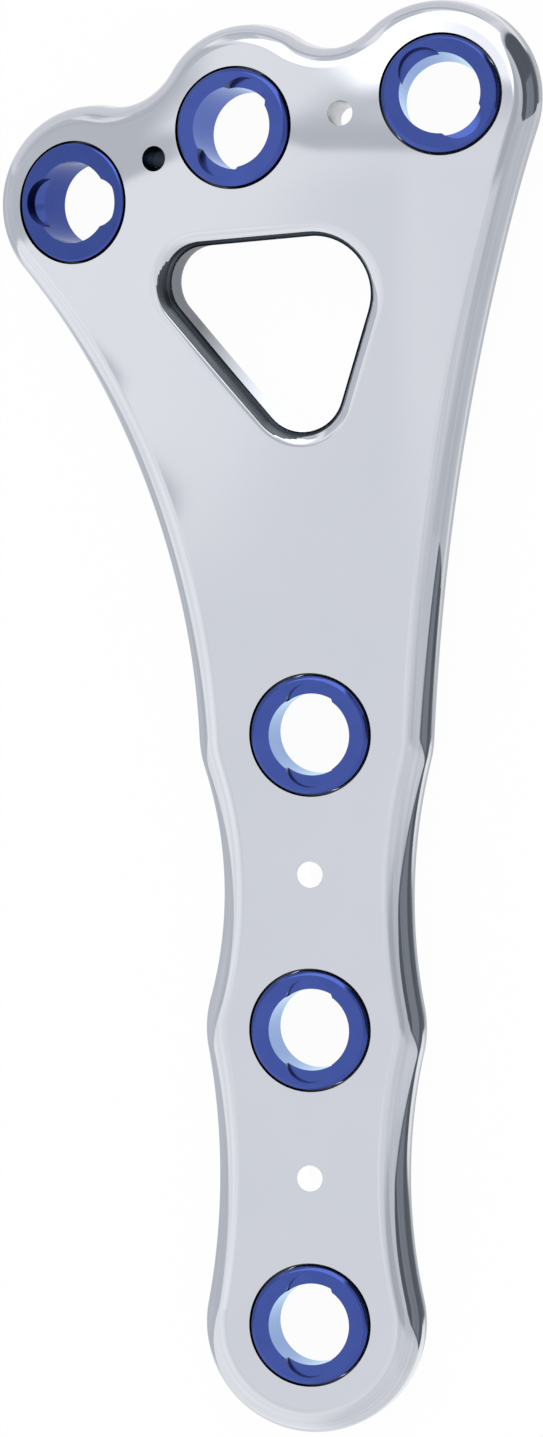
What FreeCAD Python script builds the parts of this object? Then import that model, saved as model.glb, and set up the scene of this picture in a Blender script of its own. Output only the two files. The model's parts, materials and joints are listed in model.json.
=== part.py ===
import FreeCAD, Part
import math
import os

from FreeCAD import Vector

# Locking bone plate for the head of a shin bone: a contoured metal plate with six screwed-in locking bushings.
#
# The plate is drawn in its own working frame: X to the right, Y from the shaft towards the head, Z outward
# from the bone, with the origin on the outer face at the topmost shaft hole. At the end the finished pieces
# are laid on a flat surface, bone side down, the way the loose plate comes to rest.

# Sizes are in millimetres and degrees.

# Plate blank
PLATE_THICKNESS = 4.5
OUTER_EDGE_ROUNDING = 2.0
BONE_EDGE_CHAMFER = 0.6

# Shaft: three bushing holes in a row, with the sides drawn in between them
SHAFT_PITCH = 23.7
SHAFT_HOLES = 3
SHAFT_BULGE_RADIUS = 8.8
NECK_RADIUS = 9.4
LEFT_UPPER_SCALLOP_RADIUS = 32.0
LEFT_LOWER_SCALLOP_RADIUS = 56.0
RIGHT_SCALLOP_RADIUS = 46.0

# Head: three bushing holes, and a lobe of the outline round each, a little off its hole
HEAD_LEFT_HOLE = (-20.4, 42.35)
HEAD_MIDDLE_HOLE = (-6.65, 48.55)
HEAD_RIGHT_HOLE = (10.4, 51.35)
LEFT_LOBE_SHIFT = (1.45, -0.2)
MIDDLE_LOBE_SHIFT = (0.8, 0.75)
RIGHT_LOBE_SHIFT = (-0.55, -0.65)
LEFT_LOBE_RADIUS = 7.9
MIDDLE_LOBE_RADIUS = 7.35
RIGHT_LOBE_RADIUS = 8.0
LEFT_SADDLE_RADIUS = 5.6
RIGHT_SADDLE_RADIUS = 4.9
LEFT_FLANK_RADIUS = 59.5
RIGHT_FLANK_RADIUS = 205.0

# Curved head: it wraps round the bone sideways and curls back along its top edge
WRAP_RADIUS = 88.0
WRAP_CREST_X = 6.8
WRAP_START_Y = 4.0
WRAP_FULL_Y = 38.0
CURL_ANGLE = 13.0
CURL_HALF_WIDTH = 5.0
CURL_ARC_RADIUS = 84.0
CURL_ARC_TOP = (5.6, 48.3)

# Window in the head: a triangle with three rounded corners
WINDOW_LEFT_CORNER = (-9.4, 36.0)
WINDOW_RIGHT_CORNER = (-0.05, 35.3)
WINDOW_LOWER_CORNER = (-1.1, 27.6)
WINDOW_LEFT_RADIUS = 3.0
WINDOW_RIGHT_RADIUS = 4.6
WINDOW_LOWER_RADIUS = 3.4
WINDOW_EDGE_ROUNDING = 1.3
WINDOW_BONE_CHAMFER = 0.5

# Locking bushings
BUSHING_RADIUS = 4.75
BUSHING_BORE_RADIUS = 3.28
THREAD_PLAY = 0.05
RECESS_GAP = 0.22
RECESS_DEPTH = 1.2
BUSHING_FOOT_RECESS = 0.1

# Spanner notches, two in the face of each bushing
NOTCH_CUTTER_RADIUS = 1.94
NOTCH_OFFSET = 2.25
NOTCH_DEPTH = 1.2

# How far each bushing's face stands above the plate, and which way its notches ended up when it was tightened
SHAFT_FACE_HEIGHT = 0.5
SHAFT_NOTCH_ANGLE = 90.0
HEAD_BUSHINGS = {
    "head_bushing_left": (HEAD_LEFT_HOLE, 0.0, 0.0),
    "head_bushing_middle": (HEAD_MIDDLE_HOLE, 0.25, 67.0),
    "head_bushing_right": (HEAD_RIGHT_HOLE, 0.35, 130.0),
}
SHAFT_BUSHINGS = ("shaft_bushing_upper", "shaft_bushing_middle", "shaft_bushing_lower")

# Wire holes, for 2.0 mm guide wires
WIRE_HOLE_RADIUS = 1.03
UPPER_WIRE_DROP = 11.2
LOWER_WIRE_DROP = 35.6
HEAD_WIRE_HOLES = ((-13.3, 45.95), (2.3, 49.75))

# Surface of the blank: its reach past the outline, and how closely the curved head is drawn
BLANK_MARGIN = 6.0
HEAD_COLUMNS = 9
HEAD_ROWS = 12

# Room for cutting tools, so that they pass right through
CUT_REACH = 30.0
ON_FACE = 0.01
SLOPE_STEP = 0.01
SETTLE_MESH = 0.02
SETTLE_ROUNDS = 4


def length_2d(a, b):
    """Distance between two points of the plan."""
    return math.hypot(b[0] - a[0], b[1] - a[1])


def moved_2d(a, shift):
    """Point of the plan moved by a shift."""
    return (a[0] + shift[0], a[1] + shift[1])


def towards(a, b, distance):
    """Point of the plan at a distance from a, on the way to b."""
    share = distance / length_2d(a, b)
    return (a[0] + (b[0] - a[0]) * share, a[1] + (b[1] - a[1]) * share)


def hollow_between(first, second, radius):
    """Circle of the given radius that touches two round lobes from outside, to the right of first to second."""
    (ax, ay), reach_a = first[0], first[1] + radius
    (bx, by), reach_b = second[0], second[1] + radius
    apart = length_2d(first[0], second[0])
    along = (apart**2 + reach_a**2 - reach_b**2) / (2 * apart)
    across = math.sqrt(reach_a**2 - along**2)
    ux, uy = (bx - ax) / apart, (by - ay) / apart
    return ((ax + ux * along + uy * across, ay + uy * along - ux * across), radius)


def plan_arc(centre, radius, start, end, turn):
    """Arc in the plan from start to end about a centre, counter-clockwise for a turn of 1 and clockwise for -1."""
    first = math.atan2(start[1] - centre[1], start[0] - centre[0])
    last = math.atan2(end[1] - centre[1], end[0] - centre[0])
    sweep = (turn * (last - first)) % (2 * math.pi)
    middle = first + turn * sweep / 2
    halfway = Vector(centre[0] + radius * math.cos(middle), centre[1] + radius * math.sin(middle), 0)
    return Part.Arc(Vector(*start, 0), halfway, Vector(*end, 0)).toShape()


def outline_wire():
    """Outline of the plate in plan, counter-clockwise: round lobes joined by hollows that touch them."""
    shaft = [((0.0, -SHAFT_PITCH * i), SHAFT_BULGE_RADIUS) for i in range(SHAFT_HOLES)]
    shaft[0] = (shaft[0][0], NECK_RADIUS)
    right_lobe = (moved_2d(HEAD_RIGHT_HOLE, RIGHT_LOBE_SHIFT), RIGHT_LOBE_RADIUS)
    middle_lobe = (moved_2d(HEAD_MIDDLE_HOLE, MIDDLE_LOBE_SHIFT), MIDDLE_LOBE_RADIUS)
    left_lobe = (moved_2d(HEAD_LEFT_HOLE, LEFT_LOBE_SHIFT), LEFT_LOBE_RADIUS)
    up = list(reversed(shaft))
    lobes = up + [right_lobe, middle_lobe, left_lobe] + shaft[:-1]
    hollows = [RIGHT_SCALLOP_RADIUS] * (SHAFT_HOLES - 1)
    hollows += [RIGHT_FLANK_RADIUS, RIGHT_SADDLE_RADIUS, LEFT_SADDLE_RADIUS, LEFT_FLANK_RADIUS]
    hollows += [LEFT_UPPER_SCALLOP_RADIUS] + [LEFT_LOWER_SCALLOP_RADIUS] * (SHAFT_HOLES - 2)
    chain = []
    for i, lobe in enumerate(lobes):
        chain.append((lobe, 1))
        chain.append((hollow_between(lobe, lobes[(i + 1) % len(lobes)], hollows[i]), -1))
    edges = []
    for i, ((centre, radius), turn) in enumerate(chain):
        before = chain[i - 1][0][0]
        after = chain[(i + 1) % len(chain)][0][0]
        edges.append(plan_arc(centre, radius, towards(centre, before, radius), towards(centre, after, radius), turn))
    return Part.Wire(edges)


def window_wire():
    """Outline of the window in plan, counter-clockwise: three corner arcs joined by straight sides."""
    corners = [
        (WINDOW_LOWER_CORNER, WINDOW_LOWER_RADIUS),
        (WINDOW_RIGHT_CORNER, WINDOW_RIGHT_RADIUS),
        (WINDOW_LEFT_CORNER, WINDOW_LEFT_RADIUS),
    ]
    sides = []
    for i, (centre, radius) in enumerate(corners):
        following, next_radius = corners[(i + 1) % len(corners)]
        heading = math.atan2(following[1] - centre[1], following[0] - centre[0])
        lean = math.acos((radius - next_radius) / length_2d(centre, following))
        out = (math.cos(heading - lean), math.sin(heading - lean))
        leave = (centre[0] + radius * out[0], centre[1] + radius * out[1])
        arrive = (following[0] + next_radius * out[0], following[1] + next_radius * out[1])
        sides.append((leave, arrive))
    edges = []
    for i, (centre, radius) in enumerate(corners):
        edges.append(plan_arc(centre, radius, sides[i - 1][1], sides[i][0], 1))
        edges.append(Part.LineSegment(Vector(*sides[i][0], 0), Vector(*sides[i][1], 0)).toShape())
    return Part.Wire(edges)


def face_height(x, y):
    """Height of the plate's outer face over a point of the plan."""
    wrap = WRAP_RADIUS - math.sqrt(WRAP_RADIUS**2 - (x - WRAP_CREST_X) ** 2)
    share = min(max((y - WRAP_START_Y) / (WRAP_FULL_Y - WRAP_START_Y), 0.0), 1.0)
    blend = share**3 * (10 - 15 * share + 6 * share**2)
    arc_centre_y = CURL_ARC_TOP[1] - CURL_ARC_RADIUS
    past = math.hypot(x - CURL_ARC_TOP[0], y - arc_centre_y) - CURL_ARC_RADIUS
    bent = min(max(past + CURL_HALF_WIDTH, 0.0), 2 * CURL_HALF_WIDTH)
    straight = max(past - CURL_HALF_WIDTH, 0.0)
    curl = math.tan(math.radians(CURL_ANGLE)) * (bent**2 / (4 * CURL_HALF_WIDTH) + straight)
    return -wrap * blend - curl


def face_normal(x, y):
    """Direction away from the bone, square to the outer face."""
    slope_x = (face_height(x + SLOPE_STEP, y) - face_height(x - SLOPE_STEP, y)) / (2 * SLOPE_STEP)
    slope_y = (face_height(x, y + SLOPE_STEP) - face_height(x, y - SLOPE_STEP)) / (2 * SLOPE_STEP)
    return Vector(-slope_x, -slope_y, 1).normalize()


def face_point(x, y, depth=0.0):
    """Point at a depth under the outer face, measured square to it."""
    return Vector(x, y, face_height(x, y)) - face_normal(x, y) * depth


def blank_sheets(depth, box):
    """The plate's outer face at a depth, larger than the outline: a flat sheet for the shaft, a curved one above."""
    left, right = box.XMin - BLANK_MARGIN, box.XMax + BLANK_MARGIN
    low, high = box.YMin - BLANK_MARGIN, box.YMax + BLANK_MARGIN
    corners = [(left, low), (right, low), (right, WRAP_START_Y), (left, WRAP_START_Y), (left, low)]
    flat = Part.Face(Part.makePolygon([Vector(x, y, -depth) for x, y in corners]))
    step_x = (right - left) / (HEAD_COLUMNS - 1)
    step_y = (high - WRAP_START_Y) / (HEAD_ROWS - 1)
    grid = [
        [face_point(left + step_x * i, WRAP_START_Y + step_y * j, depth) for j in range(HEAD_ROWS)]
        for i in range(HEAD_COLUMNS)
    ]
    curved = Part.BSplineSurface()
    curved.interpolate(grid)
    return [flat, curved.toShape()]


def upright(faces):
    """The faces that stand up round a straight cutter, without its two ends."""
    return Part.makeCompound([face for face in faces if abs(face.normalAt(0, 0).z) < 0.5])


def edges_on(solid, sheets, walls):
    """Edges of a solid whose middle lies both on the sheets and on the walls."""
    found = []
    for edge in solid.Edges:
        middle = Part.Vertex(edge.valueAt((edge.FirstParameter + edge.LastParameter) / 2))
        if middle.distToShape(sheets)[0] < ON_FACE and middle.distToShape(walls)[0] < ON_FACE:
            found.append(edge)
    return found


def drill(position, radius, top, bottom):
    """Round cutter square to the face at a point of the plan, from a height above it down to a depth."""
    axis = face_normal(*position)
    start = face_point(*position) + axis * top
    return Part.makeCylinder(radius, top + bottom, start, axis * -1)


def plate_body(bushings, wire_holes):
    """The plate: curved blank, cut to its outline and window, edges eased, then drilled."""
    outline = outline_wire()
    outer = blank_sheets(0.0, outline.BoundBox)
    bone_side = blank_sheets(PLATE_THICKNESS, outline.BoundBox)
    blank = Part.Face(outline).extrude(Vector(0, 0, 2 * CUT_REACH))
    blank.translate(Vector(0, 0, -CUT_REACH))
    rim = upright(blank.Faces)
    above = [sheet.extrude(Vector(0, 0, 2 * CUT_REACH)) for sheet in outer]
    below = [sheet.extrude(Vector(0, 0, -2 * CUT_REACH)) for sheet in bone_side]
    body = blank.cut(above + below)
    outer = Part.makeCompound(outer)
    bone_side = Part.makeCompound(bone_side)

    window = Part.Face(window_wire())
    centre = window.CenterOfMass
    axis = face_normal(centre.x, centre.y)
    window.translate(axis * (CUT_REACH / axis.z))
    opening = window.extrude(axis * (-2 * CUT_REACH / axis.z))
    sill = upright(opening.Faces)

    body = body.makeFillet(OUTER_EDGE_ROUNDING, edges_on(body, outer, rim))
    body = body.makeChamfer(BONE_EDGE_CHAMFER, edges_on(body, bone_side, rim))
    body = body.cut(opening)
    body = body.makeFillet(WINDOW_EDGE_ROUNDING, edges_on(body, outer, sill))
    body = body.makeChamfer(WINDOW_BONE_CHAMFER, edges_on(body, bone_side, sill))

    holes = []
    for position, _, _ in bushings.values():
        holes.append(drill(position, BUSHING_RADIUS + THREAD_PLAY, CUT_REACH, CUT_REACH))
        holes.append(drill(position, BUSHING_RADIUS + RECESS_GAP, CUT_REACH, RECESS_DEPTH))
    for position in wire_holes:
        holes.append(drill(position, WIRE_HOLE_RADIUS, CUT_REACH, CUT_REACH))
    return body.cut(holes)


def bushing(position, face_lift, notch_angle):
    """A locking bushing: a turned ring with a plain bore and two spanner notches in its face."""
    height = PLATE_THICKNESS + face_lift - BUSHING_FOOT_RECESS
    profile = [
        (BUSHING_BORE_RADIUS, -height),
        (BUSHING_RADIUS, -height),
        (BUSHING_RADIUS, 0.0),
        (BUSHING_BORE_RADIUS, 0.0),
    ]
    section = Part.makePolygon([Vector(r, 0, z) for r, z in profile + profile[:1]])
    ring = Part.Face(section).revolve(Vector(0, 0, 0), Vector(0, 0, 1), 360)
    for turn in (0.0, 180.0):
        angle = math.radians(notch_angle + turn)
        foot = Vector(NOTCH_OFFSET * math.cos(angle), NOTCH_OFFSET * math.sin(angle), -NOTCH_DEPTH)
        ring = ring.cut(Part.makeCylinder(NOTCH_CUTTER_RADIUS, CUT_REACH, foot, Vector(0, 0, 1)))
    axis = face_normal(*position)
    seat = face_point(*position) + axis * face_lift
    ring.Placement = FreeCAD.Placement(seat, FreeCAD.Rotation(Vector(0, 0, 1), axis))
    return ring


def plane_under(triangle):
    """Values (a, b, c) of the plane z = a + b x + c y through three points."""
    p, q, r = triangle
    normal = (q - p).cross(r - p)
    b, c = -normal.x / normal.z, -normal.y / normal.z
    return (p.z - b * p.x - c * p.y, b, c)


def holds(triangle, centre):
    """Whether the point of the plan under the centre of mass is inside a triangle."""
    signs = []
    for i in range(3):
        p, q = triangle[i], triangle[(i + 1) % 3]
        signs.append((q.x - p.x) * (centre.y - p.y) - (q.y - p.y) * (centre.x - p.x) >= 0)
    return all(signs) or not any(signs)


def resting_plane(points, centre):
    """Plane of a table that touches the pieces at three points round their centre of mass."""
    far = max(point.Length for point in points) * 4
    triangle = [Vector(far * math.cos(a), far * math.sin(a), far) for a in (0.1, 2.2, 4.3)]
    while True:
        a, b, c = plane_under(triangle)
        lowest = min(points, key=lambda p: p.z - a - b * p.x - c * p.y)
        if lowest in triangle or lowest.z - a - b * lowest.x - c * lowest.y > -1e-6:
            return (a, b, c)
        for i in range(3):
            attempt = triangle[:i] + [lowest] + triangle[i + 1 :]
            if holds(attempt, centre):
                triangle = attempt
                break


def lay_down(pieces):
    """Placement that rests the pieces on the plane Z = 0, with the origin under the middle of their box."""
    whole = Part.makeCompound(list(pieces.values()))
    points = whole.tessellate(SETTLE_MESH)[0]
    centre = Vector(0, 0, 0)
    for solid in whole.Solids:
        centre = centre + solid.CenterOfMass * (solid.Volume / whole.Volume)
    turn = FreeCAD.Rotation()
    for _ in range(SETTLE_ROUNDS):
        turned = [turn.multVec(point) for point in points]
        _, b, c = resting_plane(turned, turn.multVec(centre))
        turn = FreeCAD.Rotation(Vector(-b, -c, 1), Vector(0, 0, 1)).multiply(turn)
    whole.Placement = FreeCAD.Placement(Vector(0, 0, 0), turn)
    box = whole.optimalBoundingBox(False)
    return FreeCAD.Placement(Vector(-box.Center.x, -box.Center.y, -box.ZMin), turn)


def bushing_seats():
    """Place in plan, face height and notch angle of each bushing, by name."""
    seats = dict(HEAD_BUSHINGS)
    for i, name in enumerate(SHAFT_BUSHINGS):
        seats[name] = ((0.0, -SHAFT_PITCH * i), SHAFT_FACE_HEIGHT, SHAFT_NOTCH_ANGLE)
    return seats


def wire_hole_places():
    """Places in plan of the wire holes."""
    return HEAD_WIRE_HOLES + ((0.0, -UPPER_WIRE_DROP), (0.0, -LOWER_WIRE_DROP))


def main():
    """Build every piece, lay the plate down and write one file for each piece."""
    seats = bushing_seats()
    pieces = {"plate_body": plate_body(seats, wire_hole_places())}
    for name, seat in seats.items():
        pieces[name] = bushing(*seat)
    rest = lay_down(pieces)
    os.makedirs("parts", exist_ok=True)
    for name, piece in pieces.items():
        laid = piece.transformed(rest.toMatrix(), copy=True)
        laid.exportStep(f"parts/{name}.step")
        pieces[name] = laid
    return pieces, rest


if __name__ == "__main__":
    main()
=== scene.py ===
"""Studio scene of a contoured bone plate with six locking bushings, lying on a pale floor and seen from above."""

import json
import logging
import math
from dataclasses import dataclass, field
from enum import Enum

import bpy
import numpy as np
from mathutils import Matrix, Vector
from mathutils.geometry import delaunay_2d_cdt


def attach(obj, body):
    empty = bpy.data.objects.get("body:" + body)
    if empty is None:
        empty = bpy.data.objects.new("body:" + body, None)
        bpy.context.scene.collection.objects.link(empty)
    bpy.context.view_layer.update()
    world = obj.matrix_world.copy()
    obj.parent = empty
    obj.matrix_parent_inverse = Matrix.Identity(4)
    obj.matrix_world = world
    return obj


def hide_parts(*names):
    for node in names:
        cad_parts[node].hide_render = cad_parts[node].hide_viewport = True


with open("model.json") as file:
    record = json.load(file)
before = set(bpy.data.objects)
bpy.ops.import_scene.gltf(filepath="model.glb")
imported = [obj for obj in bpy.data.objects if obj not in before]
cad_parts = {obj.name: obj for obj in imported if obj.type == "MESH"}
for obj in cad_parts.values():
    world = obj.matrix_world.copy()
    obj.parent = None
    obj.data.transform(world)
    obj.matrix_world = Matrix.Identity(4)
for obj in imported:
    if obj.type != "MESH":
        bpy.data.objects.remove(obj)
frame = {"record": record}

logging.basicConfig(level=logging.INFO, format="%(message)s")
log = logging.getLogger("bone_plate")

MM = 0.001
IMAGE_SIZE = (543, 1437)
WHITE = (1.0, 1.0, 1.0, 1.0)
# Radians that Blender's wave texture turns over one unit at a scale of 1.
WAVE_TURN = 20.0
# Stands in for a level edge's rise, so that nothing is divided by zero.
LEVEL_RISE = 1e-12

# The point numbers of a closed row of points, and their places in plan.
Ring = tuple[np.ndarray, np.ndarray]


def linear(hex_colour: str) -> tuple[float, float, float, float]:
    """Turn an sRGB hex colour into linear RGBA.

    Args:
        hex_colour: six hex digits after a number sign.

    Returns:
        Linear red, green, blue and an alpha of 1.
    """
    digits = hex_colour.lstrip("#")
    parts = [int(digits[i : i + 2], 16) / 255 for i in (0, 2, 4)]
    r, g, b = (c / 12.92 if c <= 0.04045 else ((c + 0.055) / 1.055) ** 2.4 for c in parts)
    return (r, g, b, 1.0)


def unit(vectors: np.ndarray) -> np.ndarray:
    """Make a vector, or each row of an array, one long."""
    return vectors / (np.linalg.norm(vectors) if vectors.ndim == 1 else np.linalg.norm(vectors, axis=1)[:, None])


def rays(angles: np.ndarray) -> np.ndarray:
    """Directions in plan, at angles in radians."""
    return np.stack([np.cos(angles), np.sin(angles)], axis=1)


def at_height(plan: np.ndarray, z: float = 0.0) -> np.ndarray:
    """Points or directions of the plan in 3-D, at one height."""
    return np.column_stack([plan, np.full(len(plan), z)])


def between(start: np.ndarray, end: np.ndarray, share: float | np.ndarray) -> np.ndarray:
    """Turn directions a share of the way to others.

    Args:
        start: first directions, as rows.
        end: last directions, as rows.
        share: 0 for the first, 1 for the last.

    Returns:
        The directions there, as rows.
    """
    opening = np.arccos(np.clip((start * end).sum(axis=1), -1.0, 1.0))[:, None]
    return (np.sin((1 - share) * opening) * start + np.sin(share * opening) * end) / np.sin(opening)


def sides_of(axis: np.ndarray) -> np.ndarray:
    """Find two directions square to an axis and to each other.

    Args:
        axis: the axis, one long.

    Returns:
        The two directions, as rows. The first is as near to the plate's right as it can be.
    """
    side = unit(np.array([1.0, 0.0, 0.0]) - axis * axis[0])
    return np.stack([side, np.cross(axis, side)])


def new_object(name: str, points: list, faces: list) -> bpy.types.Object:
    """Put a mesh into the scene.

    Args:
        name: name of the mesh and of its object.
        points: points in metres.
        faces: point numbers of each face.

    Returns:
        The new object.
    """
    mesh = bpy.data.meshes.new(name)
    mesh.from_pydata(points, [], faces)
    made = bpy.data.objects.new(name, mesh)
    bpy.context.collection.objects.link(made)
    return made


def add_node(tree: bpy.types.NodeTree, kind: str, inputs: dict | None = None, **settings: object) -> bpy.types.Node:
    """Add one node to a tree, with its settings, its values and its links.

    Args:
        tree: the node tree that gets the node.
        kind: the node's type name, after the word ShaderNode.
        inputs: input socket (name or number) to a value, to the output socket that feeds it, or to a node whose
            first output in use feeds it.
        settings: attributes of the node itself.

    Returns:
        The new node.
    """
    node = tree.nodes.new(f"ShaderNode{kind}")
    for name, value in settings.items():
        setattr(node, name, value)
    for socket, value in (inputs or {}).items():
        if isinstance(value, bpy.types.Node):
            value = next(output for output in value.outputs if output.enabled)
        if isinstance(value, bpy.types.NodeSocket):
            tree.links.new(value, node.inputs[socket])
        else:
            node.inputs[socket].default_value = value
    return node


def new_material(name: str) -> tuple[bpy.types.Material, bpy.types.NodeTree]:
    """Make an empty material.

    Args:
        name: the material's name.

    Returns:
        The material and its node tree.
    """
    material = bpy.data.materials.new(name)
    material.use_nodes = True
    material.node_tree.nodes.clear()
    return material, material.node_tree


def mottle(tree: bpy.types.NodeTree, size_mm: float, detail: float) -> bpy.types.Node:
    """Lay soft blotches through the piece.

    Args:
        tree: the material's node tree.
        size_mm: size of a blotch.
        detail: how many finer layers it has.

    Returns:
        The node with the pattern, from 0 to 1.
    """
    where = add_node(tree, "TexCoord").outputs["Object"]
    return add_node(tree, "TexNoise", {"Vector": where, "Scale": 1 / (size_mm * MM), "Detail": detail})


def streaks(tree: bpy.types.NodeTree, length_mm: float, width_mm: float, detail: float) -> bpy.types.Node:
    """Lay streaks along a worked edge, by the profile map, which holds millimetres along it and down its side.

    Args:
        tree: the material's node tree.
        length_mm: length of a streak.
        width_mm: width of a streak.
        detail: how many finer layers it has.

    Returns:
        The node with the pattern, from 0 to 1. It is still on the plate's faces, where the map stands still.
    """
    profile = add_node(tree, "UVMap", uv_map="profile_mm")
    stretched = add_node(tree, "Mapping", {"Vector": profile, "Scale": (1 / length_mm, 1 / width_mm, 1.0)})
    return add_node(tree, "TexNoise", {"Vector": stretched, "Scale": 1.0, "Detail": detail})


def rings(tree: bpy.types.NodeTree, pitch_mm: float, wobble: float) -> bpy.types.NodeSocket:
    """Lay rings round a turned or drilled piece, by the profile map.

    Args:
        tree: the material's node tree.
        pitch_mm: distance from ring to ring.
        wobble: how unevenly they run.

    Returns:
        The socket with the pattern, from 0 to 1.
    """
    profile = add_node(tree, "UVMap", uv_map="profile_mm")
    inputs = {"Vector": profile, "Scale": math.tau / (WAVE_TURN * pitch_mm), "Distortion": wobble}
    return add_node(tree, "TexWave", inputs, bands_direction="Y", wave_profile="SIN").outputs["Fac"]


@dataclass(frozen=True)
class ElectropolishedSteel:
    """Implant steel, milled, belt-ground along its edge and electropolished."""

    # The eye gets a bright cool mirror, clouded a little by handling, and fine streaks along the edge that the
    # grinding belt left and the bath only softened. The belt's real lines are about 0.05 mm wide, too fine to show
    # at 12.5 pixels a millimetre, so they are drawn 0.32 mm wide.
    colour: str = "#cfd2da"
    cloud_colour: str = "#d4d6dc"
    cloud_mm: float = 9.0
    cloud_span: tuple[float, float] = (0.35, 0.7)
    roughness: tuple[float, float] = (0.05, 0.08)
    ripple_mm: float = 1.6
    ripple_height_mm: float = 0.0006
    streak_mm: float = 0.32
    streak_length_mm: float = 22.0
    streak_height_mm: float = 0.0035
    streak_contrast: float = 0.2

    def make(self) -> bpy.types.Material:
        """Build the material.

        Returns:
            The material.
        """
        material, tree = new_material("electropolished_implant_steel")
        clouds = mottle(tree, self.cloud_mm, detail=3.0)
        low, high = self.cloud_span
        span = {"From Min": low, "From Max": high, "To Min": self.roughness[0], "To Max": self.roughness[1]}
        rough = add_node(tree, "MapRange", {"Value": clouds, **span})
        tones = {6: linear(self.colour), 7: linear(self.cloud_colour)}
        tint = add_node(tree, "Mix", {0: clouds, **tones}, data_type="RGBA")
        belt = streaks(tree, self.streak_length_mm, self.streak_mm, detail=2.0)
        span = {"To Min": 1 - self.streak_contrast, "To Max": 1 + self.streak_contrast}
        worn = add_node(tree, "MapRange", {"Value": belt, **span})
        streaky = add_node(tree, "Mix", {0: 1.0, 6: tint, 7: worn}, data_type="RGBA", blend_type="MULTIPLY")
        height = {"Strength": 1.0, "Distance": self.ripple_height_mm * MM}
        rippled = add_node(tree, "Bump", {"Height": mottle(tree, self.ripple_mm, detail=1.0), **height})
        height = {"Strength": 1.0, "Distance": self.streak_height_mm * MM}
        streaked = add_node(tree, "Bump", {"Height": belt, **height, "Normal": rippled})
        look = {"Metallic": 1.0, "Base Color": streaky, "Roughness": rough, "Normal": streaked}
        add_node(tree, "OutputMaterial", {"Surface": add_node(tree, "BsdfPrincipled", look)})
        return material


@dataclass(frozen=True)
class DrilledSteel:
    """The same steel where a drill or thread cutter left it: the bath hardly reaches into the holes."""

    # The eye gets a darker, duller grey with fine rings round each hole. The tool's real marks are about 0.1 mm
    # apart, and are drawn 0.35 mm apart so that they show.
    colour: str = "#8f9297"
    grain_mm: float = 0.3
    roughness: tuple[float, float] = (0.16, 0.32)
    ring_pitch_mm: float = 0.35
    ring_height_mm: float = 0.012

    def make(self) -> bpy.types.Material:
        """Build the material.

        Returns:
            The material.
        """
        material, tree = new_material("drilled_implant_steel")
        span = {"To Min": self.roughness[0], "To Max": self.roughness[1]}
        rough = add_node(tree, "MapRange", {"Value": mottle(tree, self.grain_mm, detail=2.0), **span})
        height = {"Strength": 1.0, "Distance": self.ring_height_mm * MM}
        ringed = add_node(tree, "Bump", {"Height": rings(tree, self.ring_pitch_mm, wobble=0.4), **height})
        look = {"Metallic": 1.0, "Base Color": linear(self.colour), "Roughness": rough, "Normal": ringed}
        add_node(tree, "OutputMaterial", {"Surface": add_node(tree, "BsdfPrincipled", look)})
        return material


@dataclass(frozen=True)
class MilledSteelPaintedShade:
    """The same steel where a milling cutter broke an edge or cut a seat, coloured charcoal as painted shade for the
    dark of the window's edge and of the recesses.
    """

    # The eye gets a charcoal line of painted shade with finer light and dark streaks that run the way the cutter went.
    # They are really about 0.05 mm wide, and are drawn 0.16 mm wide so that they show.
    colour: str = "#474b4f"
    streak_colour: str = "#5f646a"
    edge_tint: str = "#50555a"
    roughness: tuple[float, float] = (0.2, 0.4)
    streak_mm: float = 0.16
    streak_length_mm: float = 9.0
    streak_height_mm: float = 0.01
    streak_span: tuple[float, float] = (0.35, 0.7)

    def make(self) -> bpy.types.Material:
        """Build the material.

        Returns:
            The material.
        """
        material, tree = new_material("milled_steel_painted_shade")
        lines = streaks(tree, self.streak_length_mm, self.streak_mm, detail=3.0)
        span = {"From Min": self.streak_span[0], "From Max": self.streak_span[1]}
        tones = {6: linear(self.colour), 7: linear(self.streak_colour)}
        share = add_node(tree, "MapRange", {"Value": lines, **span})
        tint = add_node(tree, "Mix", {0: share, **tones}, data_type="RGBA")
        span = {"To Min": self.roughness[0], "To Max": self.roughness[1]}
        rough = add_node(tree, "MapRange", {"Value": lines, **span})
        height = {"Strength": 1.0, "Distance": self.streak_height_mm * MM}
        cut = add_node(tree, "Bump", {"Height": lines, **height})
        look = {"Metallic": 1.0, "Specular Tint": linear(self.edge_tint)}
        look |= {"Base Color": tint, "Roughness": rough, "Normal": cut}
        add_node(tree, "OutputMaterial", {"Surface": add_node(tree, "BsdfPrincipled", look)})
        return material


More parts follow.
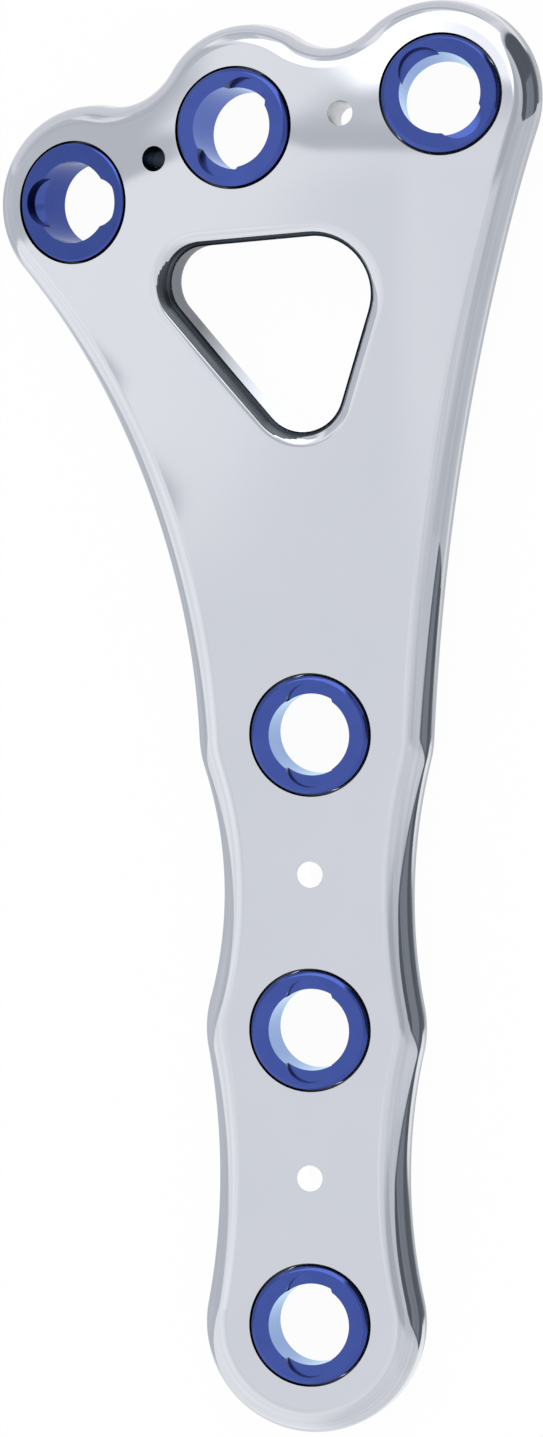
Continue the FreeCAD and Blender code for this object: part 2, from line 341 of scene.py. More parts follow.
@dataclass(frozen=True)
class AnodisedTitanium:
    """Titanium alloy, turned and anodised: a thin oxide film colours the metal blue over fine turning rings."""

    # The eye gets a deep blue mirror, a little satin, whose blue drifts slightly over the piece with the film's
    # thickness, and faint rings round the face where the light catches the turning marks. Those are really about
    # 0.05 mm apart, and are drawn 0.22 mm apart or wider so that they show.
    name: str = "blue_anodised_titanium"
    colour: str = "#4a5ca6"
    drift: str = "#40519a"
    drift_mm: float = 2.5
    grain_mm: float = 0.12
    grain_span: tuple[float, float] = (0.3, 0.7)
    roughness: tuple[float, float] = (0.1, 0.17)
    ring_pitch_mm: float = 0.22
    ring_height_mm: float = 0.0006

    def make(self) -> bpy.types.Material:
        """Build the material.

        Returns:
            The material.
        """
        material, tree = new_material(self.name)
        film = mottle(tree, self.drift_mm, detail=2.0)
        tint = add_node(tree, "Mix", {0: film, 6: linear(self.drift), 7: linear(self.colour)}, data_type="RGBA")
        low, high = self.grain_span
        span = {"From Min": low, "From Max": high, "To Min": self.roughness[0], "To Max": self.roughness[1]}
        rough = add_node(tree, "MapRange", {"Value": mottle(tree, self.grain_mm, detail=2.0), **span})
        height = {"Strength": 1.0, "Distance": self.ring_height_mm * MM}
        ringed = add_node(tree, "Bump", {"Height": rings(tree, self.ring_pitch_mm, wobble=0.3), **height})
        look = {"Metallic": 1.0, "Base Color": tint, "Roughness": rough, "Normal": ringed}
        add_node(tree, "OutputMaterial", {"Surface": add_node(tree, "BsdfPrincipled", look)})
        return material


@dataclass(frozen=True)
class MattPaper:
    """Uncoated backdrop paper, rolled and matt."""

    # The eye gets an even white ground with no gloss, which still keeps a soft shadow: for the camera, most of its
    # colour is its own light and the rest is paper.
    colour: str = "#f2f2f2"
    roughness: float = 0.9
    glow: float = 0.965

    def make(self) -> bpy.types.Material:
        """Build the material.

        Returns:
            The material.
        """
        material, tree = new_material("pale_matt_paper")
        look = {"Base Color": linear(self.colour), "Roughness": self.roughness, "Specular IOR Level": 0.0}
        paper = add_node(tree, "BsdfPrincipled", look)
        path = add_node(tree, "LightPath").outputs
        seen = add_node(tree, "Math", {0: path["Is Camera Ray"], 1: path["Is Transmission Ray"]}, operation="MAXIMUM")
        white = add_node(tree, "Emission", {"Color": WHITE, "Strength": 1.0})
        lit = add_node(tree, "MixShader", {0: self.glow, 1: paper, 2: white})
        shown = add_node(tree, "MixShader", {0: seen, 1: paper, 2: lit})
        add_node(tree, "OutputMaterial", {"Surface": shown})
        return material


class Finish(Enum):
    """Which finish a face of the skin carries, by material slot."""

    POLISHED = 0
    DRILLED = 1
    # The dark cut finish, which is painted shade.
    MILLED_PAINTED_SHADE = 2


@dataclass
class PlateAxes:
    """Where the plate's own axes lie in the row frame, read from the bores of the shaft."""

    bore_middle_depth: float = 1.95
    origin: np.ndarray = field(default_factory=lambda: np.zeros(3))
    rows: np.ndarray = field(default_factory=lambda: np.eye(3))

    def read(self, record: dict) -> None:
        """Find the axes.

        Args:
            record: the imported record.
        """
        mounts = {mount["name"]: mount for mount in record["mounts"]}
        upper, lower = mounts["shaft_bushing_upper_bore"], mounts["shaft_bushing_lower_bore"]
        out = unit(np.array(upper["axis"], dtype=float))
        along = np.array(upper["pos_m"]) - np.array(lower["pos_m"])
        along = unit(along - out * (along @ out))
        self.rows = np.stack([np.cross(along, out), along, out])
        self.origin = np.array(upper["pos_m"]) + out * self.bore_middle_depth * MM

    def place(self, points: np.ndarray) -> np.ndarray:
        """Carry points from the plate's axes, in millimetres, to the row frame, in metres."""
        return points * MM @ self.rows + self.origin

    def direction(self, azimuth: float, elevation: float) -> Vector:
        """Find a direction in the row frame.

        Args:
            azimuth: degrees about the plate's outward axis, from its right side.
            elevation: degrees above the plate's own level.

        Returns:
            The direction, one long.
        """
        a, e = math.radians(azimuth), math.radians(elevation)
        local = np.array([math.cos(a) * math.cos(e), math.sin(a) * math.cos(e), math.sin(e)])
        return Vector(local @ self.rows)


@dataclass
class Skin:
    """Collects the points, faces, exact corner normals and profile distances of one mesh."""

    points: list[np.ndarray] = field(default_factory=list)
    faces: list[tuple[int, ...]] = field(default_factory=list)
    normals: list[list[np.ndarray]] = field(default_factory=list)
    places: list[list[tuple[float, float]]] = field(default_factory=list)
    finishes: list[int] = field(default_factory=list)
    count: int = 0
    finish: Finish = Finish.POLISHED

    def add(self, points: np.ndarray) -> np.ndarray:
        """Add points.

        Args:
            points: an array of 3-D points.

        Returns:
            The numbers of the new points.
        """
        self.points.append(points)
        numbers = np.arange(self.count, self.count + len(points))
        self.count += len(points)
        return numbers

    def face(self, corners: tuple, normals: list, places: list) -> None:
        """Add one face, in the skin's present finish.

        Args:
            corners: point numbers.
            normals: the normal at each corner.
            places: the place along the profile at each corner.
        """
        self.faces.append(tuple(int(c) for c in corners))
        self.normals.append(normals)
        self.places.append(places)
        self.finishes.append(self.finish.value)

    def strip(
        self,
        low: np.ndarray,
        high: np.ndarray,
        low_normals: np.ndarray,
        high_normals: np.ndarray,
        span: tuple[float, float] = (0.0, 0.0),
        closed: bool = True,
        painted_shade_quads: np.ndarray | None = None,
    ) -> None:
        """Join two rows of points by a band of quads.

        Args:
            low: point numbers of the first row.
            high: point numbers of the second row.
            low_normals: normals at the first row.
            high_normals: normals at the second row.
            span: distance along the profile at the first row and at the second, in millimetres.
            closed: whether the band closes on itself.
            painted_shade_quads: for each quad, whether it carries the dark cut finish, which is painted shade, and not
                the skin's present one.
        """
        size, present = len(low), self.finish
        joined = np.concatenate(self.points)[low]
        walked = np.concatenate([[0.0], np.cumsum(np.linalg.norm(np.diff(joined, axis=0), axis=1))])
        for i in range(size if closed else size - 1):
            j = (i + 1) % size
            u0, u1 = walked[i], walked[j] if j else walked[i] + (walked[i] - walked[i - 1])
            self.finish = Finish.MILLED_PAINTED_SHADE if painted_shade_quads is not None and painted_shade_quads[i] else present
            self.face(
                (low[i], low[j], high[j], high[i]),
                [low_normals[i], low_normals[j], high_normals[j], high_normals[i]],
                [(u0, span[0]), (u1, span[0]), (u1, span[1]), (u0, span[1])],
            )
        self.finish = present

    def patch(self, triangles: list[tuple[int, int, int]], normals: dict[int, np.ndarray]) -> None:
        """Add triangles with a normal at each point.

        Args:
            triangles: point numbers.
            normals: the normal at each point.
        """
        for triangle in triangles:
            self.face(triangle, [normals[c] for c in triangle], [(0.0, 0.0)] * 3)

    def to_object(self, name: str, axes: PlateAxes) -> bpy.types.Object:
        """Make the Blender object, with every face turned the way its normals point.

        Args:
            name: name of the object.
            axes: the plate's axes in the row frame.

        Returns:
            The new object.
        """
        flat = np.concatenate(self.points)
        corners = np.array([face[:3] for face in self.faces])
        away = np.cross(flat[corners[:, 1]] - flat[corners[:, 0]], flat[corners[:, 2]] - flat[corners[:, 0]])
        meant = np.array([np.mean(normals, axis=0) for normals in self.normals])
        for i in np.flatnonzero((away * meant).sum(axis=1) < 0):
            for rows in (self.faces, self.normals, self.places):
                rows[i] = rows[i][::-1]
        made = new_object(name, axes.place(flat).tolist(), self.faces)
        made.data.polygons.foreach_set("use_smooth", [True] * len(self.faces))
        made.data.polygons.foreach_set("material_index", self.finishes)
        layer = made.data.uv_layers.new(name="profile_mm")
        layer.data.foreach_set("uv", np.array([p for places in self.places for p in places]).ravel())
        normals = unit(np.array([n for normals in self.normals for n in normals]) @ axes.rows)
        made.data.normals_split_custom_set(normals.tolist())
        made.data.update()
        return made


@dataclass(frozen=True)
class Lobe:
    """A circle of the plate's outline, or of the window's."""

    x: float
    y: float
    radius: float

    def at(self, ray: np.ndarray) -> np.ndarray:
        """Points of the circle in directions from its middle."""
        return np.array([self.x, self.y]) + ray * self.radius


@dataclass(frozen=True)
class Rim:
    """How a wall ends: radius of its outer edge, width of its bone-side chamfer, and bands in the rounding."""

    rounding: float
    chamfer: float
    steps: int


@dataclass(frozen=True)
class Hole:
    """A round hole, square to the plate's face, with a wider recess at its mouth where recess is over 0."""

    place: tuple[float, float]
    radius: float
    finish: Finish
    corners: int
    recess: float = 0.0
    recess_depth: float = 0.0


@dataclass
class Plate:
    """The plate, in its own axes and in millimetres: X right, Y to the head, Z away from the bone."""

    thickness: float = 4.5
    outer_rim: Rim = Rim(2.0, 0.6, 12)
    window_rim: Rim = Rim(1.3, 0.5, 24)
    pitch: float = 23.7
    bulge: float = 8.8
    neck: float = 9.4
    right_scallop: float = 46.0
    left_scallops: tuple[float, float] = (32.0, 56.0)
    head_lobes: tuple[Lobe, ...] = (Lobe(9.85, 50.7, 8.0), Lobe(-5.85, 49.3, 7.35), Lobe(-18.95, 42.15, 7.9))
    head_hollows: tuple[float, ...] = (205.0, 4.9, 5.6, 59.5)
    window_corners: tuple[Lobe, ...] = (Lobe(-1.1, 27.6, 3.4), Lobe(-0.05, 35.3, 4.6), Lobe(-9.4, 36.0, 3.0))
    wrap_radius: float = 88.0
    wrap_crest: float = 6.8
    wrap_start: float = 4.0
    wrap_full: float = 38.0
    curl_angle: float = 13.0
    curl_half: float = 5.0
    curl_radius: float = 84.0
    curl_top: tuple[float, float] = (5.6, 48.3)
    bushing_hole: float = 4.8
    recess: float = 4.97
    recess_depth: float = 1.2
    wire_hole: float = 1.03
    head_bushings: tuple[tuple[float, float], ...] = ((-20.4, 42.35), (-6.65, 48.55), (10.4, 51.35))
    shaft_bushings: tuple[tuple[float, float], ...] = ((0.0, 0.0), (0.0, -23.7), (0.0, -47.4))
    wire_places: tuple[tuple[float, float], ...] = ((-13.3, 45.95), (2.3, 49.75), (0.0, -11.2), (0.0, -35.6))
    # The head's left wire hole is painted charcoal as shade.
    wire_finishes: tuple[Finish, ...] = (Finish.MILLED_PAINTED_SHADE, Finish.DRILLED, Finish.POLISHED, Finish.POLISHED)
    # How far the walls lean in, the share of the window's rounding that is painted dark as shade at least and at most,
    # where the painted band is widest and how far round it goes, and how much flatter the rest of the rounding is
    # shaded there.
    wall_lean: float = 0.055
    window_shade_band: tuple[float, float] = (0.5, 0.76)
    window_shade_azimuth: float = 34.0
    window_shade_reach: float = 75.0
    window_shade_full: float = 0.95
    lip_wear: float = 0.55
    # How finely the meshes are divided, and how exactly places on the face are found.
    outline_step: float = 0.4
    least_arc_pieces: int = 4
    window_arc_points: int = 20
    window_side_points: int = 14
    bushing_hole_corners: int = 96
    wire_hole_corners: int = 48
    face_step: float = 1.25
    border_clearance: float = 0.55
    merge_distance: float = 1e-7
    slope_step: float = 0.01
    landing_rounds: int = 14
    # In the order of the Finish names.
    finishes: tuple[ElectropolishedSteel, DrilledSteel, MilledSteelPaintedShade] = (
        ElectropolishedSteel(),
        DrilledSteel(),
        MilledSteelPaintedShade(),
    )

    @property
    def bushing_places(self) -> tuple[tuple[float, float], ...]:
        """Places of the six bushings in plan."""
        return self.head_bushings + self.shaft_bushings

    def height(self, q: np.ndarray) -> np.ndarray:
        """Find the height of the outer face: wrapped round the bone and curled back at the top of the head.

        Args:
            q: points of the plan.

        Returns:
            The height over each.
        """
        x, y = q[:, 0], q[:, 1]
        wrap = self.wrap_radius - np.sqrt(self.wrap_radius**2 - (x - self.wrap_crest) ** 2)
        share = np.clip((y - self.wrap_start) / (self.wrap_full - self.wrap_start), 0.0, 1.0)
        blend = share**3 * (10 - 15 * share + 6 * share**2)
        past = np.hypot(x - self.curl_top[0], y - self.curl_top[1] + self.curl_radius) - self.curl_radius
        bent = np.clip(past + self.curl_half, 0.0, 2 * self.curl_half)
        straight = np.maximum(past - self.curl_half, 0.0)
        curl = math.tan(math.radians(self.curl_angle)) * (bent**2 / (4 * self.curl_half) + straight)
        return -wrap * blend - curl

    def normal(self, q: np.ndarray) -> np.ndarray:
        """Find the direction away from the bone, square to the outer face.

        Args:
            q: points of the plan.

        Returns:
            The direction over each.
        """
        steps = np.eye(2) * self.slope_step
        slope_x, slope_y = ((self.height(q + step) - self.height(q - step)) / (2 * self.slope_step) for step in steps)
        return unit(np.stack([-slope_x, -slope_y, np.ones(len(q))], axis=1))

    def surface(self, q: np.ndarray, depth: float = 0.0) -> np.ndarray:
        """Points at a depth under the outer face, over points of the plan."""
        return np.column_stack([q, self.height(q)]) - self.normal(q) * depth

    def land(self, target: np.ndarray, sides: np.ndarray, depth: float) -> np.ndarray:
        """Find where on the face, at a depth, points show at a target when seen along an axis.

        Args:
            target: wanted places, as seen along the axis.
            sides: the two directions square to the axis, as rows.
            depth: depth under the outer face.

        Returns:
            Points of the plan.
        """
        q = target.copy()
        for _ in range(self.landing_rounds):
            q += target - self.surface(q, depth) @ sides.T
        return q

    def outline(self) -> tuple[np.ndarray, np.ndarray]:
        """Draw the outline in plan, counter-clockwise, as lobes and hollows that touch.

        Returns:
            Points, and their outward directions.
        """
        shaft = [Lobe(0.0, -2 * self.pitch, self.bulge), Lobe(0.0, -self.pitch, self.bulge), Lobe(0.0, 0.0, self.neck)]
        lobes = [*shaft, *self.head_lobes, shaft[2], shaft[1]]
        hollows = [self.right_scallop] * 2 + [*self.head_hollows, *self.left_scallops]
        chain = []
        for i, lobe in enumerate(lobes):
            chain += [(lobe, 1), (self.hollow(lobe, lobes[(i + 1) % len(lobes)], hollows[i]), -1)]
        return self.sample(chain)

    @staticmethod
    def hollow(a: Lobe, b: Lobe, radius: float) -> Lobe:
        """Find the circle that touches two lobes from outside, to the right of the way from one to the other.

        Args:
            a: first lobe.
            b: second lobe.
            radius: the circle's radius.

        Returns:
            The circle.
        """
        apart = math.hypot(b.x - a.x, b.y - a.y)
        along = (apart**2 + (a.radius + radius) ** 2 - (b.radius + radius) ** 2) / (2 * apart)
        across = math.sqrt((a.radius + radius) ** 2 - along**2)
        ux, uy = (b.x - a.x) / apart, (b.y - a.y) / apart
        return Lobe(a.x + ux * along + uy * across, a.y + uy * along - ux * across, radius)

    def sample(self, chain: list[tuple[Lobe, int]]) -> tuple[np.ndarray, np.ndarray]:
        """Points along touching arcs, closer together where the arcs are tight.

        Args:
            chain: circles in order, each with 1 where the outline turns left round it and -1 where it turns right.

        Returns:
            Points and outward directions.
        """
        points, out = [], []
        for i, (lobe, turn) in enumerate(chain):
            touched = chain[i - 1][0], chain[(i + 1) % len(chain)][0]
            first, last = (math.atan2(other.y - lobe.y, other.x - lobe.x) for other in touched)
            sweep = (turn * (last - first)) % math.tau
            pieces = max(self.least_arc_pieces, round(lobe.radius * sweep / self.outline_step))
            ray = rays(first + turn * sweep * (np.arange(pieces) + 0.5) / pieces)
            points.append(lobe.at(ray))
            out.append(ray * turn)
        return np.concatenate(points), np.concatenate(out)

    def window(self) -> tuple[np.ndarray, np.ndarray]:
        """Draw the window in plan, clockwise, as three rounded corners with straight sides between them.

        Returns:
            Points, and directions towards its middle.
        """
        points, out = [], []
        size = len(self.window_corners)
        for i in range(size):
            before, lobe, after = (self.window_corners[(i + k) % size] for k in (-1, 0, 1))
            first, last = (
                math.atan2(b.y - a.y, b.x - a.x) - math.acos((a.radius - b.radius) / math.hypot(b.x - a.x, b.y - a.y))
                for a, b in ((before, lobe), (lobe, after))
            )
            sweep = (last - first) % math.tau
            ray = rays(first + sweep * np.linspace(0.0, 1.0, self.window_arc_points))
            start, end = lobe.at(ray), after.at(ray[-1])
            share = np.linspace(0.0, 1.0, self.window_side_points)[1:-1, None]
            points += [start, start[-1] + (end - start[-1]) * share]
            out += [ray, np.repeat(ray[-1:], len(share), axis=0)]
        return np.concatenate(points)[::-1], -np.concatenate(out)[::-1]

    def edge(
        self,
        skin: Skin,
        base: np.ndarray,
        away: np.ndarray,
        axis: np.ndarray,
        rim: Rim,
        cut: np.ndarray | None = None,
    ) -> tuple[Ring, Ring]:
        """Build one side wall, with its rounded outer edge and its chamfered bone-side edge.

        Args:
            skin: the mesh being built.
            base: points of the wall in plan.
            away: plan directions that point out of the metal there.
            axis: direction that the wall runs along.
            rim: its two edges.
            cut: at each point, the share of the rounding above the wall that is painted dark as shade, in the charcoal
                finish.

        Returns:
            The ring on the outer face, then the ring on the bone side.
        """
        sides = sides_of(axis)
        flat = at_height(base) @ sides.T
        out = unit(at_height(away) @ sides.T)
        wall = out @ sides
        contact = self.land(flat - out * rim.rounding, sides, rim.rounding)
        centre = self.surface(contact, rim.rounding)
        face = self.normal(contact)
        foot = self.surface(self.land(flat, sides, self.thickness), self.thickness) + axis * rim.chamfer
        under = self.land(flat - out * rim.chamfer, sides, self.thickness)
        slant = unit(wall - self.normal(under))
        bone_ring = skin.add(self.surface(under, self.thickness))
        ring = skin.add(foot)
        # Distances down the profile, from the outer face to the end of the rounding and to the foot of the wall.
        rounded = rim.rounding * math.pi / 2
        walked = rounded + (self.thickness - rim.rounding - rim.chamfer)
        skin.strip(bone_ring, ring, slant, slant, (walked + rim.chamfer, walked))
        # Where the band of painted shade is widest, the polished rest of the rounding is worn flatter and shows no
        # white line.
        calm = 1.0 if cut is None else 1.0 - self.lip_wear * (cut - cut.min()) / (cut.max() - cut.min())
        # The wall leans in a little towards its foot, so that its lower half catches the light from below.
        ring_normals = wall - axis * self.wall_lean
        for k in range(rim.steps + 1):
            share = k / rim.steps
            ray = between(wall, face, share)
            following = skin.add(centre + ray * rim.rounding)
            # The dark share of the rounding carries the charcoal finish as painted shade.
            painted_shade_quads = None if cut is None or k == 0 else share <= cut
            if cut is not None:
                ray = between(wall, face, np.where(share > cut, 1 - (1 - share) * calm, share)[:, None])
            skin.strip(ring, following, ring_normals, ray, (walked, rounded * (1 - share)), painted_shade_quads=painted_shade_quads)
            ring, ring_normals, walked = following, ray, rounded * (1 - share)
        return (ring, contact), (bone_ring, under)

    def cut(self, away: np.ndarray) -> np.ndarray:
        """Find how far up the window's rounding the band of painted shade goes: further on the side that faces right.

        Args:
            away: plan directions towards the window's middle.

        Returns:
            The share of the rounding that is dark in each.
        """
        facing = away @ rays(np.radians([self.window_shade_azimuth]))[0]
        far = math.cos(math.radians(self.window_shade_reach))
        share = np.clip((facing - far) / (self.window_shade_full - far), 0.0, 1.0)
        return self.window_shade_band[0] + (self.window_shade_band[1] - self.window_shade_band[0]) * share * share * (3 - 2 * share)

    def bore(self, skin: Skin, hole: Hole) -> tuple[Ring, Ring]:
        """Build the wall of one hole, and its recess.

        Args:
            skin: the mesh being built.
            hole: place and sizes of the hole.

        Returns:
            The ring on the outer face, then the ring on the bone side.
        """
        place = np.array([hole.place])
        axis, centre = self.normal(place)[0], self.surface(place)[0]
        sides = sides_of(axis)
        ray = rays(-np.linspace(0.0, math.tau, hole.corners + 1)[:-1])
        around, middle = ray @ sides, sides @ centre
        inward, up = -around, np.repeat(axis[None], len(around), axis=0)
        under = self.land(middle + ray * hole.radius, sides, self.thickness)
        bone_ring = skin.add(self.surface(under, self.thickness))
        over = self.land(middle + ray * (hole.recess or hole.radius), sides, 0.0)
        ring, depth = bone_ring, self.thickness
        skin.finish = hole.finish
        if hole.recess:
            floor = centre - axis * hole.recess_depth
            inner = skin.add(floor + around * hole.radius)
            outer = skin.add(floor + around * hole.recess)
            skin.strip(ring, inner, inward, inward, (depth, hole.recess_depth))
            # The recess floor is painted charcoal as the shade in the gap round the bushing.
            skin.finish = Finish.MILLED_PAINTED_SHADE
            skin.strip(inner, outer, up, up, (hole.recess_depth, hole.recess_depth))
            ring, depth = outer, hole.recess_depth
        face_ring = skin.add(self.surface(over))
        skin.strip(ring, face_ring, inward, inward, (depth, 0.0))
        skin.finish = Finish.POLISHED
        return (face_ring, over), (bone_ring, under)

    def cover(self, skin: Skin, borders: list[Ring], depth: float) -> None:
        """Close the outer face or the bone side between its borders.

        Args:
            skin: the mesh being built.
            borders: its rings, the outline first.
            depth: depth of the face under the outer face.
        """
        border = np.concatenate([places for _, places in borders])
        numbers = np.concatenate([ids for ids, _ in borders])
        edges, start = [], 0
        for ids, _ in borders:
            edges += [(start + i, start + (i + 1) % len(ids)) for i in range(len(ids))]
            start += len(ids)
        xs, ys = (np.arange(low, high, self.face_step) for low, high in zip(border.min(axis=0), border.max(axis=0)))
        grid = np.array([(x + (j % 2) * self.face_step / 2, y) for j, y in enumerate(ys) for x in xs])
        least = self.face_step * self.border_clearance
        clear = np.array([np.min(np.hypot(*(border - g).T)) > least for g in grid])
        grid = grid[clear & self.inside(grid, borders)]
        numbers = np.concatenate([numbers, skin.add(self.surface(grid, depth))])
        plan = np.concatenate([border, grid])
        made = delaunay_2d_cdt([Vector(p) for p in plan], edges, [], 0, self.merge_distance)
        spots = np.array([tuple(v) for v in made[0]])
        source = [ids[0] for ids in made[3]]
        keep = self.inside(np.array([spots[list(f)].mean(axis=0) for f in made[2]]), borders)
        triangles = [tuple(int(numbers[source[c]]) for c in f) for f, k in zip(made[2], keep) if k]
        facing = self.normal(plan) * (-1.0 if depth else 1.0)
        skin.patch(triangles, dict(zip(numbers.tolist(), facing)))

    @staticmethod
    def inside(points: np.ndarray, borders: list[Ring]) -> np.ndarray:
        """Find which points lie inside the outline and outside every opening.

        Args:
            points: points of the plan.
            borders: its rings, the outline first.

        Returns:
            Whether each point does.
        """
        crossings = np.zeros(len(points), dtype=int)
        for _, ring in borders:
            a, b = ring, np.roll(ring, -1, axis=0)
            above = (a[None, :, 1] > points[:, None, 1]) != (b[None, :, 1] > points[:, None, 1])
            rise = np.where(b[:, 1] == a[:, 1], LEVEL_RISE, b[:, 1] - a[:, 1])
            cross_x = a[:, 0] + (points[:, None, 1] - a[:, 1]) * (b[:, 0] - a[:, 0]) / rise
            crossings += (above & (points[:, None, 0] < cross_x)).sum(axis=1)
        return crossings % 2 == 1

    def build(self) -> Skin:
        """Build the whole plate.

        Returns:
            The finished skin.
        """
        skin = Skin()
        upright = np.array([0.0, 0.0, 1.0])
        base, away = self.window()
        window_axis = self.normal(base.mean(axis=0)[None])[0]
        seat = (self.bushing_hole, Finish.DRILLED, self.bushing_hole_corners, self.recess, self.recess_depth)
        holes = [Hole(place, *seat) for place in self.bushing_places]
        wires = zip(self.wire_places, self.wire_finishes)
        holes += [Hole(place, self.wire_hole, finish, self.wire_hole_corners) for place, finish in wires]
        ends = [self.edge(skin, *self.outline(), upright, self.outer_rim)]
        ends += [self.edge(skin, base, away, window_axis, self.window_rim, self.cut(away))]
        ends += [self.bore(skin, hole) for hole in holes]
        self.cover(skin, [outer for outer, _ in ends], 0.0)
        self.cover(skin, [bone for _, bone in ends], self.thickness)
        return skin

    def make(self, axes: PlateAxes) -> bpy.types.Object:
        """Build and dress the plate.

        Args:
            axes: the plate's axes in the row frame.

        Returns:
            The plate.
        """
        plate = self.build().to_object("polished_plate", axes)
        for finish in self.finishes:
            plate.data.materials.append(finish.make())
        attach(plate, "root")
        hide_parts("plate_body")
        return plate


class Side(Enum):
    """Which side of an edge a panel lies on."""

    AFTER = "after"
    BEFORE = "before"
    ABOVE = "above"
    BELOW = "below"


AFTER, BEFORE, ABOVE, BELOW = Side


@dataclass(frozen=True)
class Edge:
    """One soft edge of a studio panel, at an angle in degrees about the plate's axes."""

    side: Side
    angle: float
    softness: float
    offset: float = 0.0

    def plane(self, axes: PlateAxes) -> tuple[Vector, float]:
        """Find where the edge lies.

        Args:
            axes: the plate's axes in the row frame.

        Returns:
            Direction to measure along, and the value there at the edge.
        """
        if self.side in (AFTER, BEFORE):
            turn = 90.0 if self.side is AFTER else -90.0
            return axes.direction(self.angle + turn, 0.0), self.offset
        sign = 1.0 if self.side is ABOVE else -1.0
        return axes.direction(0.0, 90.0 * sign), sign * math.sin(math.radians(self.angle))


@dataclass(frozen=True)
class Slant:
    """A soft edge of a studio panel that runs from one direction to another; the panel lies on its left."""

    start: tuple[float, float]
    end: tuple[float, float]
    softness: float

    def plane(self, axes: PlateAxes) -> tuple[Vector, float]:
        """Direction to measure along, and the value there at the edge."""
        return axes.direction(*self.start).cross(axes.direction(*self.end)).normalized(), 0.0


@dataclass(frozen=True)
class Disc:
    """A round soft edge about a direction, with its radius in degrees."""

    middle: tuple[float, float]
    radius: float
    softness: float

    def plane(self, axes: PlateAxes) -> tuple[Vector, float]:
        """Direction to measure along, and the value there at the edge."""
        return axes.direction(*self.middle), math.cos(math.radians(self.radius))


def band(azimuths: tuple[float, float], elevations: tuple[float, float], softness: float) -> tuple[Edge, ...]:
    """Edges of a panel between two azimuths and two elevations.

    Args:
        azimuths: first and last azimuth in degrees, less than a half turn apart.
        elevations: lowest and highest elevation in degrees.
        softness: half width of the edges.

    Returns:
        The four edges.
    """
    angles = (*azimuths, *elevations)
    return tuple(Edge(side, angle, softness) for side, angle in zip((AFTER, BEFORE, ABOVE, BELOW), angles))


@dataclass(frozen=True)
class Panel:
    """A soft-edged part of the studio's dome."""

    name: str
    colour: str
    edges: tuple[Edge | Slant | Disc, ...]
    strength: float = 1.0


@dataclass(frozen=True)
class Glow:
    """A light that only the metal sees: its colour, its strength and, where it is round, its radius in millimetres."""

    colour: str
    strength: float
    radius: float = 0.0


